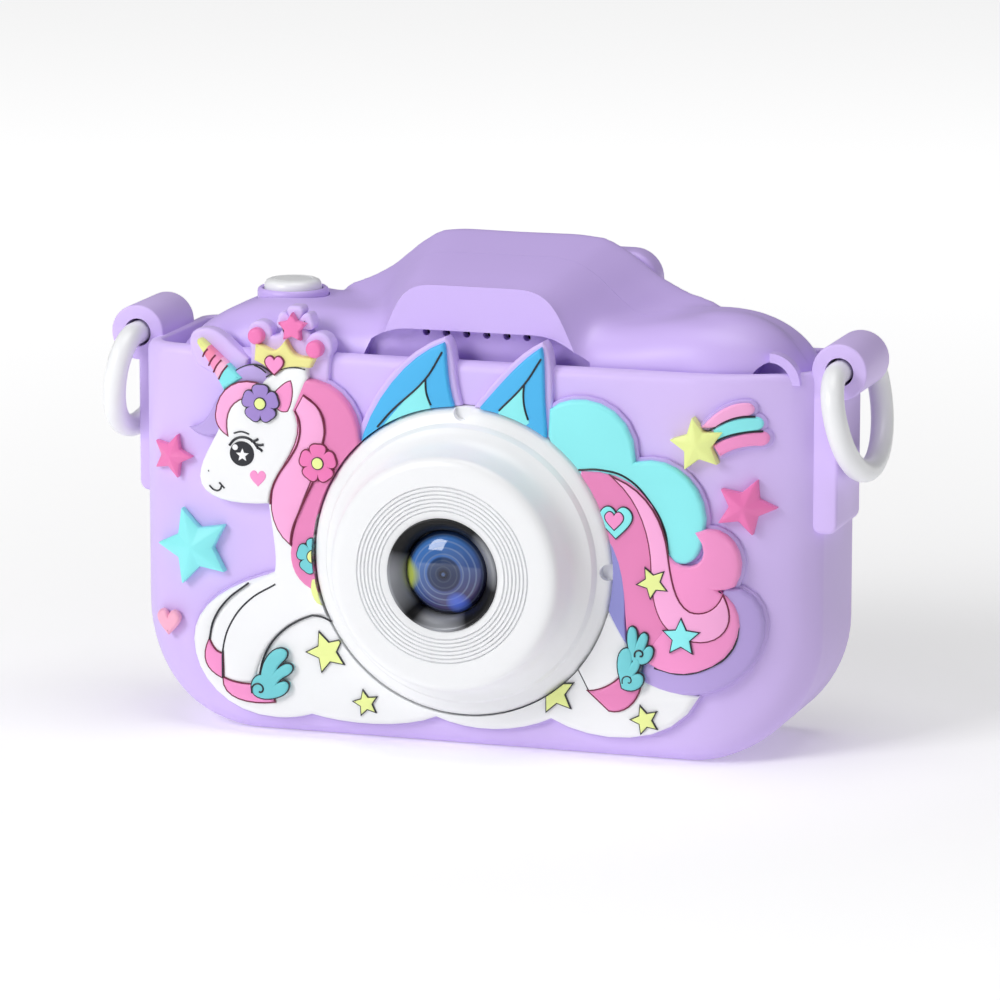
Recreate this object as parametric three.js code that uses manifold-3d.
// A children's digital camera in a soft silicone sleeve, in millimetres, +Z up.
// X runs across the camera, the lens looks along -Y, and the sleeve stands on Z = 0.
import * as THREE from 'three';
import { mergeVertices } from 'three/addons/utils/BufferGeometryUtils.js';
import Module from 'manifold-3d';

const wasm = await Module();
wasm.setup();

// ---- Driving dimensions ----

const GAP = 0.3;

// The sleeve: a pocket with an open top, a lens hole, a rear window and two strap lugs.
const SLEEVE_WIDTH = 100;
const SLEEVE_DEPTH = 27.8;
const SLEEVE_TOP = 56;
const SLEEVE_CORNER = 17.8;
const SLEEVE_EDGE = 3.8;
const SLEEVE_WALL = 2.2;
const FLAP_RAISE = 0.7;

// The hard camera body that the sleeve holds.
const BODY_HALF_WIDTH = SLEEVE_WIDTH / 2 - SLEEVE_WALL - GAP;
const BODY_HALF_DEPTH = SLEEVE_DEPTH / 2 - SLEEVE_WALL - GAP;
const BODY_BOTTOM = SLEEVE_WALL + GAP;
const BODY_CORNER = SLEEVE_CORNER - SLEEVE_WALL - GAP;
const BODY_EDGE = 5;
const SHELL_WALL = 1.8;
const SHOULDER_END = 54;

// The hump over the lens, with its brow at the front and its ridge at the back.
const BROW_FRONT = -12;
const BROW_TOP = 66.2;
const RIDGE_TOP = 70.6;
const HUMP_FOOT = 57;
const RECESS_BACK = -9;
const RECESS_TOP = 60;

// The lens, turned about an axis along Y.
const LENS_Z = 27.5;
const FLANGE_RADIUS = 22.3;
const BARREL_RADIUS = 16.9;
const BARREL_FRONT = -25;
const BORE_RADIUS = 8.6;
const GLASS_RADIUS = 5.6;
const LENS_HOLE = 14.5;

// Strap lugs and the white rings that hang in them.
const LUG_X = 52.4;
const LUG_Z = 56.2;
const LUG_Y = -0.45;
const LUG_HALF_LENGTH = 6.35;
const LUG_RADIUS = 4;
const LUG_HOLE = 2;
const PAD_FACE = 52.3;
const PAD_BOTTOM = 33;
const RING_WIRE = 1.65;
const RING_HALF_WIDTH = 12.35;
const RING_DROP = 15;
const RING_TILT = THREE.MathUtils.degToRad(11);

// The shutter release on the left shoulder.
const SHUTTER_X = -30.9;
const SHUTTER_RADIUS = 4.45;
const SHUTTER_TOP = 64.3;
const COLLAR_RADIUS = 5.35;
const COLLAR_TOP = 62.6;

// The rear face: screen, keys and the block behind the hump.
const SCREEN = { x: 12.5, z: 29, width: 45, height: 35 };
const PAD_X = -26.5;
const PAD_Z = 24;
const OK_RADIUS = 3.6;
const ARC_INNER = 5.1;
const ARC_OUTER = 9;
const ARC_SPREAD = 38;
const SMALL_KEY_RADIUS = 2.6;
const SMALL_KEY_Z = 40;
const POWER_KEY_LOW = 44.2;
const KEY_PROUD = 1;
const BLOCK = { left: -13.5, right: 20.5, bottom: 59.5, top: 68.8, rear: 16 };

// Where the front and rear reach, so that the whole part is centred about Y = 0.
const FRONT_REACH = 25.3;
const REAR_REACH = 16.3;
const CENTRE_Y = (FRONT_REACH - REAR_REACH) / 2;

// The raised picture on the sleeve's front.
const FRONT_FACE = -SLEEVE_DEPTH / 2;
const RELIEF_BACK = FRONT_FACE - GAP;
const RELIEF_FRONT = -16.3;
const FLAP_FRONT = FRONT_FACE - FLAP_RAISE;
const LENS_CLEARANCE = FLANGE_RADIUS + GAP;

// ---- Materials ----

function plastic(colour, roughness = 0.45) {
  return new THREE.MeshStandardMaterial({ color: colour, roughness, metalness: 0 });
}

function metal(colour, roughness = 0.35) {
  return new THREE.MeshStandardMaterial({ color: colour, roughness, metalness: 1 });
}

const LILAC = 0xd2bdf5;
const LILAC_SHELL = 0xc3aee6;
const WHITE = 0xf6f7f8;
const BLACK = 0x1c1c1e;
const PINK = 0xf49ad0;
const DEEP_PINK = 0xe583b9;
const SALMON = 0xfdbbd6;
const TURQUOISE = 0x92f0f2;
const BLUE = 0x55c0f5;
const YELLOW = 0xecf4a0;
const GOLD = 0xebe496;

// ---- Geometry helpers ----

// A closed three.js geometry as a solid, with its faces turned outwards.
function solid(geometry) {
  const bare = geometry.clone();
  bare.deleteAttribute('normal');
  bare.deleteAttribute('uv');
  const merged = mergeVertices(bare, 1e-4);
  const position = merged.attributes.position.array;
  const corners = [];
  let volume = 0;
  for (let i = 0; i < merged.index.count; i += 3) {
    const [a, b, c] = merged.index.array.slice(i, i + 3);
    if (a === b || b === c || c === a) continue;
    corners.push(a, b, c);
    const p = new THREE.Vector3().fromArray(position, 3 * a);
    const q = new THREE.Vector3().fromArray(position, 3 * b);
    const r = new THREE.Vector3().fromArray(position, 3 * c);
    volume += p.dot(q.cross(r));
  }
  if (volume < 0) corners.reverse();
  const mesh = new wasm.Mesh({
    numProp: 3,
    vertProperties: new Float32Array(position),
    triVerts: new Uint32Array(corners),
  });
  return new wasm.Manifold(mesh);
}

function join(first, ...others) {
  return others.reduce((whole, other) => whole.add(other), first);
}

function cut(first, ...others) {
  return others.reduce((whole, other) => whole.subtract(other), first);
}

// A box between two corners.
function box(x0, x1, y0, y1, z0, z1) {
  const geometry = new THREE.BoxGeometry(x1 - x0, y1 - y0, z1 - z0);
  geometry.translate((x0 + x1) / 2, (y0 + y1) / 2, (z0 + z1) / 2);
  return solid(geometry);
}

// A cylinder along Y, X or Z.
function rod(axis, radius, from, to, a, b, sides = 20) {
  const geometry = new THREE.CylinderGeometry(radius, radius, to - from, sides);
  const middle = (from + to) / 2;
  if (axis === 'x') {
    geometry.rotateZ(Math.PI / 2);
    geometry.translate(middle, a, b);
  } else if (axis === 'y') {
    geometry.translate(a, middle, b);
  } else {
    geometry.rotateX(Math.PI / 2);
    geometry.translate(a, b, middle);
  }
  return solid(geometry);
}

// A profile of [radius, height] turned about an axis along Y through (x, z).
function turnAboutY(profile, x, z, sides = 28) {
  const geometry = new THREE.LatheGeometry(profile.map(([r, y]) => new THREE.Vector2(r, y)), sides);
  geometry.translate(x, 0, z);
  return solid(geometry);
}

// The same about an axis along Z through (x, y).
function turnAboutZ(profile, x, y, sides = 18) {
  const geometry = new THREE.LatheGeometry(profile.map(([r, h]) => new THREE.Vector2(r, h)), sides);
  geometry.rotateX(Math.PI / 2);
  geometry.translate(x, y, 0);
  return solid(geometry);
}

// For each corner of a closed outline, the step that moves it outwards by one unit on both sides.
function cornerSteps(points) {
  const steps = new Map();
  const count = points.length;
  for (let i = 0; i < count; i += 1) {
    const before = points[(i + count - 1) % count];
    const after = points[(i + 1) % count];
    const arrive = points[i].clone().sub(before).normalize();
    const leave = after.clone().sub(points[i]).normalize();
    const step = new THREE.Vector2(arrive.y + leave.y, -arrive.x - leave.x);
    step.divideScalar(Math.max(1 + arrive.dot(leave), 0.5));
    steps.set(`${Math.fround(points[i].x)} ${Math.fround(points[i].y)}`, step);
  }
  return steps;
}

// A front-view outline (x, z) carried along Y from y0 to y1.
// round rounds both rims inside the outline, and grow pushes the outline outwards.
function slab(shape, y0, y1, { round = 0, segments = 3, grow = 0, curve = 5 } = {}) {
  const layers = [];
  const turns = round > 0 ? segments : 0;
  for (let i = 0; i <= turns; i += 1) {
    const angle = turns > 0 ? (i / turns) * (Math.PI / 2) : 0;
    layers.push([round * (1 - Math.cos(angle)), round * (1 - Math.sin(angle)) - grow]);
  }
  const last = 2 * turns + 1;
  const points = shape.getPoints(curve);
  if (points[0].distanceTo(points[points.length - 1]) < 1e-6) points.pop();
  if (THREE.ShapeUtils.isClockWise(points)) points.reverse();
  const steps = cornerSteps(points);
  const outlineOnly = new THREE.Shape(points);
  const geometry = new THREE.ExtrudeGeometry(outlineOnly, {
    depth: last,
    steps: last,
    bevelEnabled: false,
  });
  const position = geometry.attributes.position;
  for (let i = 0; i < position.count; i += 1) {
    const level = Math.round(position.getZ(i));
    const fromRear = level > turns;
    const [deep, inset] = layers[fromRear ? last - level : level];
    const step = steps.get(`${position.getX(i)} ${position.getY(i)}`);
    const x = position.getX(i) - step.x * inset;
    const z = position.getY(i) - step.y * inset;
    position.setXYZ(i, x, fromRear ? y1 - deep : y0 + deep, z);
  }
  return solid(geometry);
}

function roundedRectangle(x0, x1, z0, z1, radius) {
  const shape = new THREE.Shape();
  shape.moveTo(x0, z0 + radius);
  shape.absarc(x0 + radius, z0 + radius, radius, Math.PI, 1.5 * Math.PI, false);
  shape.absarc(x1 - radius, z0 + radius, radius, 1.5 * Math.PI, 2 * Math.PI, false);
  shape.absarc(x1 - radius, z1 - radius, radius, 0, 0.5 * Math.PI, false);
  shape.absarc(x0 + radius, z1 - radius, radius, 0.5 * Math.PI, Math.PI, false);
  return shape;
}

function disc(x, z, radius) {
  return new THREE.Shape().absarc(x, z, radius, 0, 2 * Math.PI, false);
}

// A five-pointed star; turn is the direction of its first point in degrees.
function star(x, z, reach, turn = 90, waist = 0.5) {
  const shape = new THREE.Shape();
  for (let i = 0; i < 10; i += 1) {
    const angle = THREE.MathUtils.degToRad(turn + 36 * i);
    const radius = i % 2 === 0 ? reach : reach * waist;
    const point = [x + radius * Math.cos(angle), z + radius * Math.sin(angle)];
    if (i === 0) shape.moveTo(...point);
    else shape.lineTo(...point);
  }
  shape.closePath();
  return shape;
}

function heart(x, z, size) {
  const shape = new THREE.Shape();
  shape.moveTo(x, z - size);
  shape.bezierCurveTo(
    x + 0.5 * size, z - 0.5 * size, x + 1.15 * size, z,
    x + 0.95 * size, z + 0.5 * size,
  );
  shape.bezierCurveTo(x + 0.7 * size, z + size, x + 0.2 * size, z + size, x, z + 0.45 * size);
  shape.bezierCurveTo(
    x - 0.2 * size, z + size, x - 0.7 * size, z + size,
    x - 0.95 * size, z + 0.5 * size,
  );
  shape.bezierCurveTo(x - 1.15 * size, z, x - 0.5 * size, z - 0.5 * size, x, z - size);
  return shape;
}

// An outline from a start point and a list of curves, each [control, control, end] or [end].
function outline(start, steps) {
  const shape = new THREE.Shape();
  shape.moveTo(...start);
  for (const step of steps) {
    if (step.length === 1) shape.lineTo(...step[0]);
    else shape.bezierCurveTo(...step[0], ...step[1], ...step[2]);
  }
  shape.closePath();
  return shape;
}

const group = new THREE.Group();

// Every finished piece is a named mesh, moved so that the part is centred front to back.
function piece(name, shape, material) {
  const { vertProperties, triVerts } = shape.getMesh();
  const geometry = new THREE.BufferGeometry();
  geometry.setAttribute('position', new THREE.BufferAttribute(new Float32Array(vertProperties), 3));
  geometry.setIndex(new THREE.BufferAttribute(new Uint32Array(triVerts), 1));
  geometry.computeVertexNormals();
  const mesh = new THREE.Mesh(geometry, material);
  mesh.name = name;
  mesh.position.y = CENTRE_Y;
  group.add(mesh);
}

// ---- Silicone sleeve ----

function pocket(inset, top) {
  const half = SLEEVE_WIDTH / 2 - inset;
  const bend = SLEEVE_CORNER - inset;
  const shape = new THREE.Shape();
  shape.moveTo(-half, top);
  shape.lineTo(-half, inset + bend);
  shape.absarc(-half + bend, inset + bend, bend, Math.PI, 1.5 * Math.PI, false);
  shape.absarc(half - bend, inset + bend, bend, 1.5 * Math.PI, 2 * Math.PI, false);
  shape.lineTo(half, top);
  const depth = SLEEVE_DEPTH / 2 - inset;
  return slab(shape, -depth, depth, { round: SLEEVE_EDGE - 0.5 * inset, segments: 2, curve: 7 });
}

// The flaps that stand above the rim behind the horn, the crown and the wing tips.
function flapOutlines() {
  const horn = outline([-41.2, 53], [
    [[-43, 58], [-40.5, 60], [-37.2, 58.2]],
    [[-32, 55]],
    [[-33, 51]],
  ]);
  const crown = outline([-33.2, 53], [
    [[-34.5, 58], [-33.2, 61.5], [-30.2, 61.2]],
    [[-28.6, 61.5], [-28.8, 64], [-25.6, 64.2]],
    [[-22.2, 64], [-22, 61.8], [-22.4, 60.2]],
    [[-18.6, 60.4], [-18, 56.2], [-20.4, 53.4]],
  ]);
  return [horn, crown, wingOutline(-1, 2), wingOutline(1, 2)];
}

// One wing, a curved fin that rises from behind the lens; border widens it to its flap.
function wingOutline(side, border) {
  if (side < 0) {
    return outline([-15.6 - border, 42.6], [
      [[-14 - border, 50], [-8 - border, 57 + 0.6 * border], [-2.8, 58.9 + 0.6 * border]],
      [[-2.2 + border, 58.4], [-2.8 + 0.8 * border, 54], [-1.2 + 0.8 * border, 49.4]],
      [[-1.5 + border, 44]],
      [[-8, 40]],
    ]);
  }
  return outline([3 - border, 49.4], [
    [[6 - border, 54], [8.6 - border, 57 + 0.6 * border], [11.6, 59 + 0.6 * border]],
    [[12.2 + border, 58.4], [11.8 + 0.8 * border, 53], [12.4 + 0.8 * border, 47]],
    [[12.4 + 0.8 * border, 44]],
    [[5, 42]],
  ]);
}

function strapLug(side) {
  const near = LUG_Y - LUG_HALF_LENGTH;
  const far = LUG_Y + LUG_HALF_LENGTH;
  const inner = side * (SLEEVE_WIDTH / 2 - 1);
  const outer = side * PAD_FACE;
  const tube = rod('y', LUG_RADIUS, near, far, side * LUG_X, LUG_Z, 18);
  const pad = box(Math.min(inner, outer), Math.max(inner, outer), near, far, PAD_BOTTOM, LUG_Z);
  return join(tube, pad);
}

function sleeve() {
  const rim = box(-60, 60, -20, 20, SLEEVE_TOP, 90);
  const shell = cut(pocket(0, 66), rim);
  const flaps = flapOutlines().map((shape) => slab(shape, FLAP_FRONT, FRONT_FACE + SLEEVE_WALL - 0.4));
  const body = join(shell, ...flaps, strapLug(-1), strapLug(1));
  const rearWindow = roundedRectangle(-39.5, 38.5, 9, 49, 8);
  return cut(
    body,
    pocket(SLEEVE_WALL, 80),
    rod('y', LENS_CLEARANCE, -20, 0, 0, LENS_Z, 40),
    slab(rearWindow, 5, 20),
    box(-60, -40, -8.4, 8.4, 18.6, 32.2),
    rod('y', LUG_HOLE, -12, 12, -LUG_X, LUG_Z, 14),
    rod('y', LUG_HOLE, -12, 12, LUG_X, LUG_Z, 14),
  );
}

piece('silicone_sleeve', sleeve(), plastic(LILAC, 0.55));

// ---- Strap rings ----

// A round wire bent into a closed D: straight through the lug, round below.
function strapRing(side) {
  const steps = 32;
  const sides = 8;
  const corner = 5;
  const loop = new THREE.CurvePath();
  const flat = RING_HALF_WIDTH - corner;
  const low = RING_DROP - corner;
  loop.add(new THREE.LineCurve(new THREE.Vector2(-flat, 0), new THREE.Vector2(flat, 0)));
  loop.add(new THREE.EllipseCurve(flat, -corner, corner, corner, 0.5 * Math.PI, 0, true));
  loop.add(new THREE.EllipseCurve(0, -corner, RING_HALF_WIDTH, low, 0, -Math.PI, true));
  loop.add(new THREE.EllipseCurve(-flat, -corner, corner, corner, Math.PI, 0.5 * Math.PI, true));
  const geometry = new THREE.TorusGeometry(RING_DROP, RING_WIRE, sides, steps);
  const position = geometry.attributes.position;
  for (let j = 0; j <= sides; j += 1) {
    for (let i = 0; i <= steps; i += 1) {
      const along = (i % steps) / steps;
      const turn = ((j % sides) / sides) * 2 * Math.PI;
      const centre = loop.getPointAt(along);
      const forward = loop.getTangentAt(along);
      const outward = RING_WIRE * Math.cos(turn);
      const y = centre.x - forward.y * outward;
      const z = centre.y + forward.x * outward;
      position.setXYZ(j * (steps + 1) + i, RING_WIRE * Math.sin(turn), y, z);
    }
  }
  geometry.rotateY(-side * RING_TILT);
  geometry.translate(side * LUG_X, LUG_Y, LUG_Z);
  return solid(geometry);
}

piece('strap_ring_left', strapRing(-1), plastic(WHITE, 0.3));
piece('strap_ring_right', strapRing(1), plastic(WHITE, 0.3));

// ---- Camera body: front and rear shells ----

// The shoulders, from the right end to the left end, over the sleeve's rim.
const SHOULDERS = [
  [45.9, 58.2], [42, 61.2], [36, 62.6], [30, 62.4], [24, 61.4], [0, 61.4],
  [-24, 61.8], [-31, 61.8], [-37.5, 60.4], [-43, 58.2], [-46.4, 55.8],
];

function bodyOutline(inset) {
  const half = BODY_HALF_WIDTH - inset;
  const low = BODY_BOTTOM + inset;
  const bend = BODY_CORNER - inset;
  const scale = half / BODY_HALF_WIDTH;
  const shape = new THREE.Shape();
  shape.moveTo(-half, SHOULDER_END - inset);
  shape.lineTo(-half, low + bend);
  shape.absarc(-half + bend, low + bend, bend, Math.PI, 1.5 * Math.PI, false);
  shape.absarc(half - bend, low + bend, bend, 1.5 * Math.PI, 2 * Math.PI, false);
  shape.lineTo(half, SHOULDER_END - inset);
  for (const [x, z] of SHOULDERS) shape.lineTo(x * scale, z - inset);
  shape.closePath();
  return shape;
}

// Half of the hump's outline, from the middle of the top to the foot, at the brow and at the ridge.
function humpProfile(points, count) {
  const curve = new THREE.SplineCurve(points.map(([x, z]) => new THREE.Vector2(x, z)));
  return curve.getPoints(count);
}

function hump(inset) {
  const count = 9;
  const brow = humpProfile([[0, BROW_TOP + 0.2], [8, BROW_TOP], [11.4, 64.2], [15.2, 58]], count);
  const ridge = humpProfile([[0, RIDGE_TOP], [10, RIDGE_TOP - 0.3], [18.5, 66], [27, 61.6]], count);
  const layers = 5;
  const front = BROW_FRONT + inset;
  const back = BODY_HALF_DEPTH - inset;
  const foot = HUMP_FOOT - inset;
  const points = [];
  for (let k = 0; k <= layers; k += 1) {
    const t = k / layers;
    const y = THREE.MathUtils.lerp(front, back, t);
    const swell = t ** 0.85;
    const ring = [];
    for (let i = 0; i <= count; i += 1) {
      const wide = THREE.MathUtils.lerp(brow[i].x, ridge[i].x, swell) * (1 - inset / 15);
      const high = THREE.MathUtils.lerp(brow[i].y, ridge[i].y, swell) - inset;
      ring.push([wide, high]);
    }
    const right = ring.map(([x, z]) => [x, y, z]).reverse();
    const left = ring.slice(1).map(([x, z]) => [-x, y, z]);
    const edge = ring[count][0];
    points.push([[0, y, foot], [edge, y, foot], ...right, ...left, [-edge, y, foot]]);
  }
  const size = points[0].length;
  const index = [];
  for (let k = 0; k < layers; k += 1) {
    for (let i = 0; i < size; i += 1) {
      const a = k * size + i;
      const b = k * size + ((i + 1) % size);
      index.push(a, b, b + size, a, b + size, a + size);
    }
  }
  for (let i = 1; i < size - 1; i += 1) {
    const last = layers * size;
    index.push(0, i + 1, i, last, last + i, last + i + 1);
  }
  const geometry = new THREE.BufferGeometry();
  geometry.setAttribute('position', new THREE.Float32BufferAttribute(points.flat(2), 3));
  geometry.setIndex(index);
  return solid(geometry);
}

function bodySolid(inset) {
  const depth = BODY_HALF_DEPTH - inset;
  const block = slab(bodyOutline(inset), -depth, depth, {
    round: BODY_EDGE - inset,
    segments: 2,
    curve: 5,
  });
  return join(block, hump(inset));
}

// The hollow under the brow where the sound comes out, and the notch that holds the lanyard eye.
function browRecess(grow) {
  const shape = outline([-13.2 - grow, 50], [
    [[13.2 + grow, 50]],
    [[13.2 + grow, 58.4]],
    [[12 + grow, RECESS_TOP + grow], [10, RECESS_TOP + grow], [8, RECESS_TOP + grow]],
    [[-8, RECESS_TOP + grow]],
    [[-10, RECESS_TOP + grow], [-12 - grow, RECESS_TOP + grow], [-13.2 - grow, 58.4]],
  ]);
  return slab(shape, -20, RECESS_BACK + grow);
}

function eyeNotch(grow) {
  return box(42.6 - grow, 60, -20, -5.6 + grow, 54 - grow, 70);
}

const SCREWS = [[-36, 10.5], [36, 10.5], [-41, 50.5], [41, 50.5]];
const BOSS_RADIUS = 3.1;
const THREAD_RADIUS = 1.1;
const HEAD_RADIUS = 2.1;
const HEAD_FACE = 7;

const GRILLE = [-6, -3, 0, 3, 6, 9];

function shells() {
  const cavity = cut(bodySolid(SHELL_WALL), browRecess(SHELL_WALL), eyeNotch(SHELL_WALL));
  const hollow = cut(bodySolid(0), cavity);
  const bosses = SCREWS.map(([x, z]) => rod('y', BOSS_RADIUS, -10.4, 10.4, x, z, 12));
  const open = cut(
    join(hollow, ...bosses),
    browRecess(0),
    eyeNotch(0),
    rod('y', LENS_HOLE, -20, -8, 0, LENS_Z, 28),
    rod('z', COLLAR_RADIUS + GAP, 58, 70, SHUTTER_X, 0, 18),
  );
  const front = cut(
    open,
    box(-60, 60, -GAP / 2, 30, 0, 90),
    box(-60, -44, -4.9, -3.1, 19.4, 31.4),
    ...GRILLE.map((x) => rod('y', 0.55, -12, -5, x - 1.5, 59.2, 8)),
    ...SCREWS.map(([x, z]) => rod('y', THREAD_RADIUS + GAP, -8, 5, x, z, 10)),
  );
  const screenSeat = roundedRectangle(
    SCREEN.x - SCREEN.width / 2, SCREEN.x + SCREEN.width / 2,
    SCREEN.z - SCREEN.height / 2, SCREEN.z + SCREEN.height / 2, 2,
  );
  const screenHole = box(
    SCREEN.x - SCREEN.width / 2 + 2.5, SCREEN.x + SCREEN.width / 2 - 2.5, 5, 20,
    SCREEN.z - SCREEN.height / 2 + 2.5, SCREEN.z + SCREEN.height / 2 - 2.5,
  );
  const rear = cut(
    open,
    box(-60, 60, -30, GAP / 2, 0, 90),
    slab(screenSeat, BODY_HALF_DEPTH - 1.2, 20),
    screenHole,
    box(-60, -44, 3.4, 7.6, 20.7, 30.7),
    ...keyOutlines().map(({ shape }) => slab(shape, 5, 20, { grow: GAP, curve: 4 })),
    ...SCREWS.map(([x, z]) => rod('y', THREAD_RADIUS + GAP, -5, 20, x, z, 10)),
    ...SCREWS.map(([x, z]) => rod('y', HEAD_RADIUS + GAP, HEAD_FACE - 1.9, 20, x, z, 12)),
  );
  return { front, rear };
}

// ---- Keys ----

// A quarter of the ring round the OK key.
function arcKey(turn) {
  const start = THREE.MathUtils.degToRad(turn - ARC_SPREAD);
  const end = THREE.MathUtils.degToRad(turn + ARC_SPREAD);
  const shape = new THREE.Shape();
  shape.absarc(PAD_X, PAD_Z, ARC_OUTER, start, end, false);
  shape.absarc(PAD_X, PAD_Z, ARC_INNER, end, start, true);
  shape.closePath();
  return shape;
}

function keyOutlines() {
  const powerKey = roundedRectangle(PAD_X - 4, PAD_X + 4, POWER_KEY_LOW, POWER_KEY_LOW + 3, 1);
  return [
    { name: 'key_ok', shape: disc(PAD_X, PAD_Z, OK_RADIUS) },
    { name: 'key_right', shape: arcKey(180) },
    { name: 'key_left', shape: arcKey(0) },
    { name: 'key_up', shape: arcKey(90) },
    { name: 'key_down', shape: arcKey(270) },
    { name: 'key_menu', shape: disc(PAD_X - 6, SMALL_KEY_Z, SMALL_KEY_RADIUS), flanged: true },
    { name: 'key_play', shape: disc(PAD_X + 6, SMALL_KEY_Z, SMALL_KEY_RADIUS), flanged: true },
    { name: 'key_power', shape: powerKey, flanged: true },
  ];
}

const WALL_INSIDE = BODY_HALF_DEPTH - SHELL_WALL;
const FLANGE_DEEP = 0.7;
const FLANGE_WIDE = 0.55;
const KEY_REAR = WALL_INSIDE - GAP - FLANGE_DEEP;

// A cap through the shell. A flange behind the wall keeps a flanged one in.
function keySolid(shape, flanged) {
  const cap = slab(shape, KEY_REAR, BODY_HALF_DEPTH + KEY_PROUD, { curve: 4 });
  if (!flanged) return cap;
  const flange = slab(shape, KEY_REAR, WALL_INSIDE - GAP, { grow: FLANGE_WIDE, curve: 4 });
  return join(cap, flange);
}

const { front, rear } = shells();
piece('front_shell', front, plastic(LILAC_SHELL));
piece('rear_shell', rear, plastic(LILAC_SHELL));

// The OK key and the arcs round it stand too close for flanges, so their caps rest on the mat.
for (const { name, shape, flanged } of keyOutlines()) {
  piece(name, keySolid(shape, flanged), plastic(WHITE, 0.35));
}

const KEY_TRAVEL = 0.7;
const MAT_FACE = KEY_REAR - KEY_TRAVEL - GAP;
const MAT_THICK = 1;
piece('key_mat', box(-37.5, -16, MAT_FACE - MAT_THICK, MAT_FACE, 14, 48), plastic(0xd8d8d8, 0.7));

// ---- Shell fittings ----

for (const [i, [x, z]] of SCREWS.entries()) {
  const head = rod('y', HEAD_RADIUS, HEAD_FACE - 1.6, HEAD_FACE, x, z, 12);
  const thread = rod('y', THREAD_RADIUS, -7, HEAD_FACE - 1, x, z, 10);
  const slot = join(
    box(x - 1.3, x + 1.3, HEAD_FACE - 0.7, HEAD_FACE + 1, z - 0.3, z + 0.3),
    box(x - 0.3, x + 0.3, HEAD_FACE - 0.7, HEAD_FACE + 1, z - 1.3, z + 1.3),
  );
  piece(`screw_${i + 1}`, cut(join(head, thread), slot), metal(0xb8bcc2));
}

function lanyardEye() {
  const bend = new THREE.Shape();
  bend.absarc(43, 54.4, 4.4, 0, 0.5 * Math.PI, false);
  bend.absarc(43, 54.4, 3.1, 0.5 * Math.PI, 0, true);
  bend.closePath();
  return slab(bend, -9.2, -7.2);
}

piece('lanyard_eye', lanyardEye(), plastic(LILAC_SHELL));

function shutterButton() {
  const r = SHUTTER_RADIUS;
  return turnAboutZ([
    [0, 54], [1.5, 54], [1.5, 57.1],
    [COLLAR_RADIUS - 0.2, 57.1], [COLLAR_RADIUS - 0.2, 58.1], [r, 58.1],
    [r, SHUTTER_TOP - 1], [r - 0.4, SHUTTER_TOP - 0.4], [r - 1.2, SHUTTER_TOP - 0.1], [0, SHUTTER_TOP],
  ], SHUTTER_X, 0);
}

function shutterCollar() {
  const bore = SHUTTER_RADIUS + GAP;
  return turnAboutZ([
    [bore, 58.4], [COLLAR_RADIUS, 58.4], [COLLAR_RADIUS, COLLAR_TOP - 0.4],
    [COLLAR_RADIUS - 0.3, COLLAR_TOP], [bore, COLLAR_TOP], [bore, 58.4],
  ], SHUTTER_X, 0);
}

piece('shutter_button', shutterButton(), plastic(WHITE, 0.3));
piece('shutter_collar', shutterCollar(), plastic(LILAC_SHELL));
piece('shutter_switch', box(SHUTTER_X - 3, SHUTTER_X + 3, -3, 3, 48.6, 52.4), plastic(BLACK, 0.5));

// ---- Lens ----

function lensBarrel() {
  const back = -BODY_HALF_DEPTH - GAP;
  const skin = 2;
  const body = turnAboutY([
    [BORE_RADIUS, BARREL_FRONT], [BORE_RADIUS, back], [BORE_RADIUS + skin, back],
    [BORE_RADIUS + skin, BARREL_FRONT + 2.2], [BARREL_RADIUS - 2.4, BARREL_FRONT + 2.2],
    [BARREL_RADIUS - 0.6, -17], [FLANGE_RADIUS - skin, -14.2], [FLANGE_RADIUS - skin, back],
    [FLANGE_RADIUS, back], [FLANGE_RADIUS, -15.3], [FLANGE_RADIUS - 0.5, -16],
    [FLANGE_RADIUS - 2, -16.5], [FLANGE_RADIUS - 3.4, -18], [BARREL_RADIUS + 1.2, -20.5],
    [BARREL_RADIUS, BARREL_FRONT + 1.2], [BARREL_RADIUS - 0.4, BARREL_FRONT + 0.4],
    [BARREL_RADIUS - 1.2, BARREL_FRONT], [BORE_RADIUS, BARREL_FRONT],
  ], 0, LENS_Z, 32);
  const rim = FLANGE_RADIUS - 0.8;
  const notches = [0, 1, 2, 3].map((quarter) => {
    const x = Math.round(Math.cos(quarter * Math.PI / 2)) * rim;
    const z = LENS_Z + Math.round(Math.sin(quarter * Math.PI / 2)) * rim;
    return box(x - 0.9, x + 0.9, -20, -14.8, z - 0.9, z + 0.9);
  });
  return cut(body, ...notches);
}

piece('lens_barrel', lensBarrel(), plastic(WHITE, 0.35));

const BEZEL_RADIUS = BORE_RADIUS - GAP;
const BEZEL_BACK = -21;
piece('lens_bezel', turnAboutY([
  [BEZEL_RADIUS, -24.9], [BEZEL_RADIUS - 0.3, -FRONT_REACH], [GLASS_RADIUS + GAP, -23.4],
  [GLASS_RADIUS + GAP, BEZEL_BACK], [BEZEL_RADIUS, BEZEL_BACK], [BEZEL_RADIUS, -24.9],
], 0, LENS_Z), plastic(BLACK, 0.15));

piece('front_glass', turnAboutY([
  [0, -24.3], [2, -24.15], [3.6, -23.75], [4.8, -23.2],
  [GLASS_RADIUS, -22.5], [GLASS_RADIUS, -21.3], [0, -22],
], 0, LENS_Z, 24), plastic(0x2a3558, 0.05));

piece('lens_holder', turnAboutY([
  [5.2, -20.7], [5.2, -19.6], [4.4, -19.6], [4.4, -18.4], [3.6, -18.4], [3.6, -17.2], [2.8, -17.2],
  [2.8, -6], [7.2, -6], [7.2, -12], [BEZEL_RADIUS, -12.6], [BEZEL_RADIUS, -20.7], [5.2, -20.7],
], 0, LENS_Z, 24), plastic(BLACK, 0.4));

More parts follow.
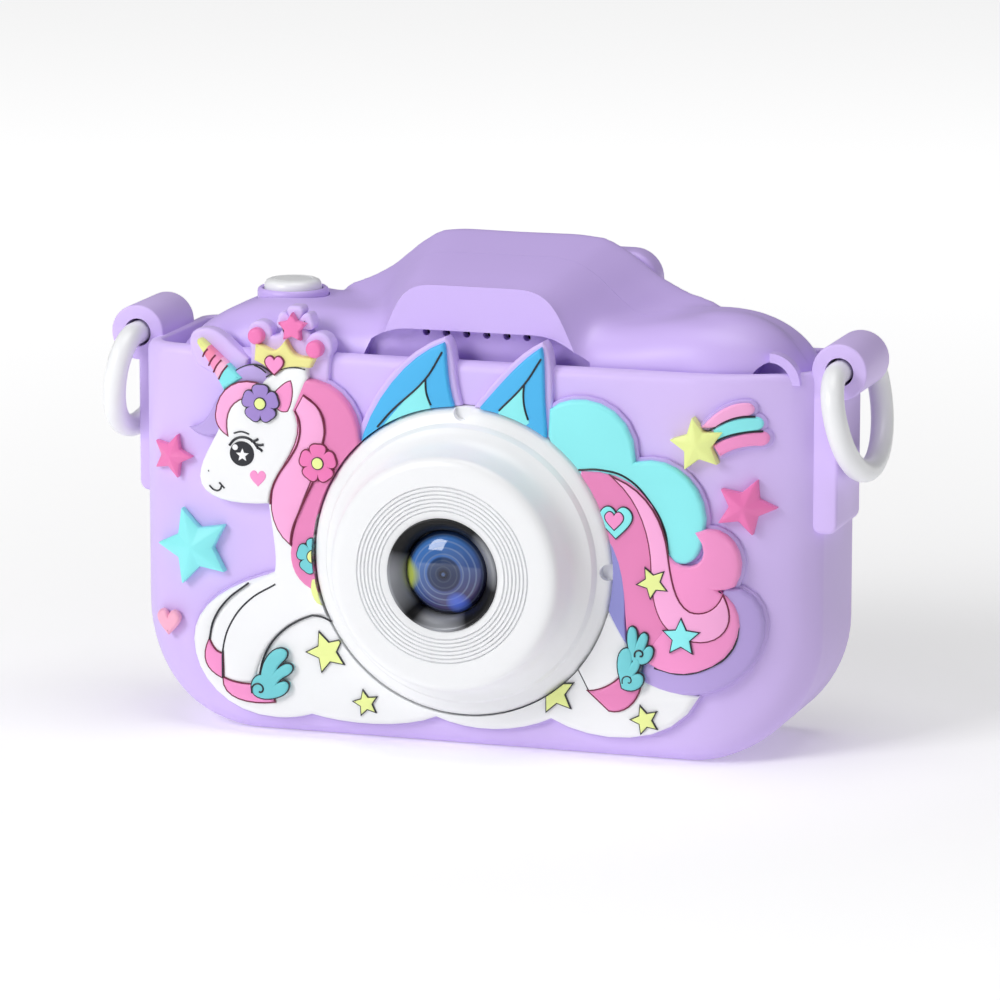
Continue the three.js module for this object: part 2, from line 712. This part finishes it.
piece('inner_lens', turnAboutY([
  [0, -16.4], [1.4, -16.1], [2.5, -15.4], [2.5, -14.6], [0, -13.8],
], 0, LENS_Z, 20), plastic(0x3a4a70, 0.05));

const BOARD_GREEN = 0x1f6b3a;
piece('image_sensor_board', join(
  box(-8, 8, -5.6, -4.4, LENS_Z - 8, LENS_Z + 8),
  box(-2, 2, -7, -5, LENS_Z - 2, LENS_Z + 2),
), plastic(BOARD_GREEN, 0.5));

// ---- Electronics inside the shells ----

const BOARD_FACE = 2.6;
const BOARD_REAR = 4;
piece('main_board', box(-27.5, 36, BOARD_FACE, BOARD_REAR, 14.5, 55), plastic(BOARD_GREEN, 0.5));

const LCD_HALF_WIDTH = 21;
const LCD_HALF_HEIGHT = 15.6;
piece('lcd_module', box(
  SCREEN.x - LCD_HALF_WIDTH, SCREEN.x + LCD_HALF_WIDTH, 6.2, 9,
  SCREEN.z - LCD_HALF_HEIGHT, SCREEN.z + LCD_HALF_HEIGHT,
), plastic(0x30343a, 0.3));

const CELL_FRONT = -8.6;
const CELL_REAR = -3;
const cellShape = roundedRectangle(16.5, 37, 14, 46, 2);
piece('battery_cell', slab(cellShape, CELL_FRONT, CELL_REAR, { curve: 2 }), plastic(0x8fa3b5, 0.4));

const SPEAKER_RADIUS = 6.6;
const SPEAKER_Z = 55.5;
piece('speaker', rod('y', SPEAKER_RADIUS, -6.8, -3.2, 0, SPEAKER_Z, 24), plastic(BLACK, 0.5));

function usbPort() {
  const shell = box(-47.2, -40, 3.9, 7.1, 21.2, 30.2);
  const mouth = box(-50, -41.5, 4.3, 6.7, 21.7, 29.7);
  const tongue = box(-46, -41, 5.2, 5.8, 22.6, 28.8);
  return join(cut(shell, mouth), tongue);
}

piece('usb_port', usbPort(), metal(0xc8ccd2));

// A small soft cover over the charging port, hinged on its rear edge.
function usbCover() {
  const lid = box(-49.3, -47.8, 2.4, 8.1, 20.1, 31);
  const pull = box(-49.9, -49.2, 2.4, 3.4, 23.5, 27.5);
  return join(lid, pull);
}

piece('usb_cover', usbCover(), plastic(LILAC_SHELL, 0.6));

function cardSlot() {
  const cage = box(-45.3, -31, -5.4, -2.6, 19.2, 31.6);
  const mouth = box(-50, -32.2, -4.9, -3.1, 19.7, 31.1);
  return cut(cage, mouth);
}

piece('card_slot', cardSlot(), metal(0xb8bcc2));
piece('memory_card', box(-48.2, -33.4, -4.5, -3.5, 20, 30.8), plastic(BLACK, 0.5));

// ---- Rear block with the second lens ----

const BLOCK_LENS_X = (BLOCK.left + BLOCK.right) / 2;
const BLOCK_LENS_Z = 64;

const BLOCK_LENS_HOLE = 3.5;

function rearBlock() {
  const shape = roundedRectangle(BLOCK.left, BLOCK.right, BLOCK.bottom, BLOCK.top, 4.4);
  const body = slab(shape, BODY_HALF_DEPTH + GAP, BLOCK.rear, { round: 0.8, segments: 2, curve: 4 });
  return cut(body, rod('y', BLOCK_LENS_HOLE, 13.6, 20, BLOCK_LENS_X, BLOCK_LENS_Z, 24));
}

piece('rear_block', rearBlock(), plastic(LILAC_SHELL));
piece('rear_lens', turnAboutY([
  [0, 13.9], [3.2, 13.9], [3.2, 16], [2.9, REAR_REACH], [2.4, REAR_REACH], [2, 15.2], [0, 15.5],
], BLOCK_LENS_X, BLOCK_LENS_Z, 24), plastic(BLACK, 0.1));

piece('screen_window', slab(roundedRectangle(
  SCREEN.x - SCREEN.width / 2 + GAP, SCREEN.x + SCREEN.width / 2 - GAP,
  SCREEN.z - SCREEN.height / 2 + GAP, SCREEN.z + SCREEN.height / 2 - GAP, 1.8,
), BODY_HALF_DEPTH - 0.9, BODY_HALF_DEPTH, { curve: 3 }), plastic(BLACK, 0.08));

// ---- The raised picture: coloured silicone pieces on the sleeve's front ----

const cloudWhite = outline([-41, 13.5], [
  [[-41, 8], [-36, 3.8], [-27, 3.6]],
  [[-18, 2.2], [-9, 2.4], [-4.2, 4.6]],
  [[1, 2.6], [8, 3], [13, 5.6]],
  [[19, 2.4], [31, 2], [34.8, 10.2]],
  [[27, 12.5]],
  [[24, 20]],
  [[20, 22]],
  [[-18, 30]],
  [[-24, 27]],
  [[-27, 24.4]],
  [[-36, 22], [-41, 18.5], [-41, 13.5]],
]);

const cloudTurquoise = outline([12.8, 47], [
  [[13.5, 54], [25.6, 53], [25.4, 43.4]],
  [[31.5, 45.5], [37.3, 40], [36, 33.6]],
  [[35.4, 30.4], [33.5, 29], [31.4, 29.4]],
  [[26, 34]],
  [[15, 40]],
]);

const tailPink = outline([18, 41.9], [
  [[25, 42.4], [29.8, 38], [30.4, 30.8]],
  [[33, 27.2], [37, 30], [34.4, 34]],
  [[40, 36], [43.4, 30], [40.6, 26.2]],
  [[38, 25.8]],
  [[41.6, 23.5], [41.2, 17.4], [36.6, 14.9]],
  [[31.5, 12], [25.5, 14], [24.3, 19.6]],
  [[23.6, 26], [24.2, 33], [18, 36]],
]);

const tailLilac = outline([38.6, 25.9], [
  [[45.4, 26.6], [46.4, 16.5], [39.6, 12.4]],
  [[35.4, 9.8], [29.8, 9.7], [26.4, 12.4]],
  [[27.6, 17]],
  [[36, 20]],
]);

const head = outline([-23.2, 54.4], [
  [[-26.6, 54.4], [-29, 53], [-30, 51.4]],
  [[-33.4, 51.2], [-35.6, 49.4], [-35.9, 46.4]],
  [[-36.6, 43.6], [-39.6, 40.6], [-39.6, 37.4]],
  [[-39.4, 34], [-34.6, 33.8], [-28.9, 34.2]],
  [[-28.6, 38.6], [-24.2, 41.6], [-24.4, 46]],
  [[-25, 48]],
  [[-22.8, 53]],
]);

const mane = outline([-22.6, 53.2], [
  [[-17.6, 52.2], [-14.6, 47], [-15.4, 42]],
  [[-14, 36]],
  [[-18, 22]],
  [[-21.6, 21.6]],
  [[-25, 22.4], [-26.4, 25.4], [-25.8, 28.4]],
  [[-29.2, 30.6], [-29.4, 35.6], [-27.4, 39]],
  [[-25, 42], [-23.4, 45], [-24.8, 48]],
]);

const chest = outline([-29.2, 33.6], [
  [[-28.6, 29.6], [-27.8, 27], [-28.4, 24.2]],
  [[-33.6, 22], [-38.4, 18], [-38.6, 13.8]],
  [[-36.4, 12.2]],
  [[-35.8, 9]],
  [[-31, 8.4]],
  [[-30.6, 13.6], [-26, 17], [-21, 18]],
  [[-18, 18]],
  [[-18, 30]],
  [[-24, 34]],
]);

const foreHooves = outline([-38.9, 13.4], [
  [[-40, 10.6], [-38.8, 8.8], [-36.5, 8.2]],
  [[-36, 6.2], [-32.4, 5.4], [-28.4, 6]],
  [[-29.2, 8]],
  [[-35.4, 8.6]],
  [[-36.2, 11.8]],
]);

const hindHoof = outline([19, 10.2], [
  [[21, 10.4], [23, 11.6], [24.2, 13.4]],
  [[26.4, 11.4]],
  [[25.8, 9], [23.8, 7.2], [21.8, 7.6]],
]);

const horn = outline([-36.3, 50.6], [
  [[-39.9, 56]],
  [[-40.2, 57.3], [-39, 57.6], [-38.4, 57]],
  [[-33.4, 52.9]],
]);

const crown = outline([-31.2, 54.2], [
  [[-31.6, 57.8]],
  [[-29, 56.4]],
  [[-26.6, 58.6]],
  [[-24.4, 56]],
  [[-21.6, 56.6]],
  [[-22.8, 55]],
  [[-26, 54.9], [-28.6, 54], [-29.6, 53]],
]);

const starTrail = outline([36.6, 48.4], [
  [[38.6, 51.4], [40.4, 52.4], [41.8, 52]],
  [[43, 51.4], [42.2, 50.4], [43, 50.2]],
  [[44.2, 49.6], [43.2, 48.4], [43.8, 48]],
  [[44.6, 47], [43.2, 46], [42, 46.2]],
  [[38.6, 45.6]],
]);

// A raised piece, clear of the lens and of the outlines that it meets.
function relief(name, shape, colour, { back = RELIEF_BACK, front = RELIEF_FRONT, avoid = [] } = {}) {
  const raised = slab(shape, front, back, { round: 0.35, segments: 1, curve: 3 });
  const others = avoid.map((other) => slab(other, -20, -10, { grow: GAP, curve: 3 }));
  const lens = rod('y', LENS_CLEARANCE, -20, -10, 0, LENS_Z, 40);
  piece(name, cut(raised, lens, ...others), plastic(colour, 0.5));
}

const ON_FLAP = FLAP_FRONT - GAP;
const wingLeft = wingOutline(-1, 0);
const wingRight = wingOutline(1, 0);
const shootingStar = star(34.3, 46.4, 4, 104);

relief('relief_hooves_fore', foreHooves, PINK);
relief('relief_hoof_hind', hindHoof, PINK);
relief('relief_head', head, WHITE, { back: ON_FLAP });
relief('relief_mane', mane, DEEP_PINK, { back: ON_FLAP, avoid: [head] });
relief('relief_chest', chest, WHITE, { avoid: [foreHooves, mane, head] });
relief('relief_horn', horn, SALMON, { back: ON_FLAP, avoid: [head] });
relief('relief_crown', crown, GOLD, { back: ON_FLAP, avoid: [head] });
relief('relief_cloud_white', cloudWhite, WHITE, {
  avoid: [foreHooves, hindHoof, chest, mane, tailPink, tailLilac],
});
relief('relief_tail_pink', tailPink, PINK);
relief('relief_tail_lilac', tailLilac, LILAC, { avoid: [tailPink] });
relief('relief_cloud_turquoise', cloudTurquoise, TURQUOISE, { avoid: [tailPink, wingOutline(1, 2.2)] });
relief('relief_wing_left', wingLeft, BLUE, { back: ON_FLAP, avoid: [mane] });
relief('relief_wing_right', wingRight, BLUE, { back: ON_FLAP });
relief('relief_star_turquoise', star(-40.9, 27, 5.8, 180), TURQUOISE);
relief('relief_star_pink_left', star(-44.4, 39.8, 3.4, 0), PINK);
relief('relief_star_pink_right', star(42.2, 38.4, 4.2, 0), PINK);
relief('relief_heart', heart(-44.8, 16, 2), SALMON);
relief('relief_shooting_star', shootingStar, YELLOW);
relief('relief_star_trail', starTrail, PINK, { avoid: [shootingStar] });

export default group;
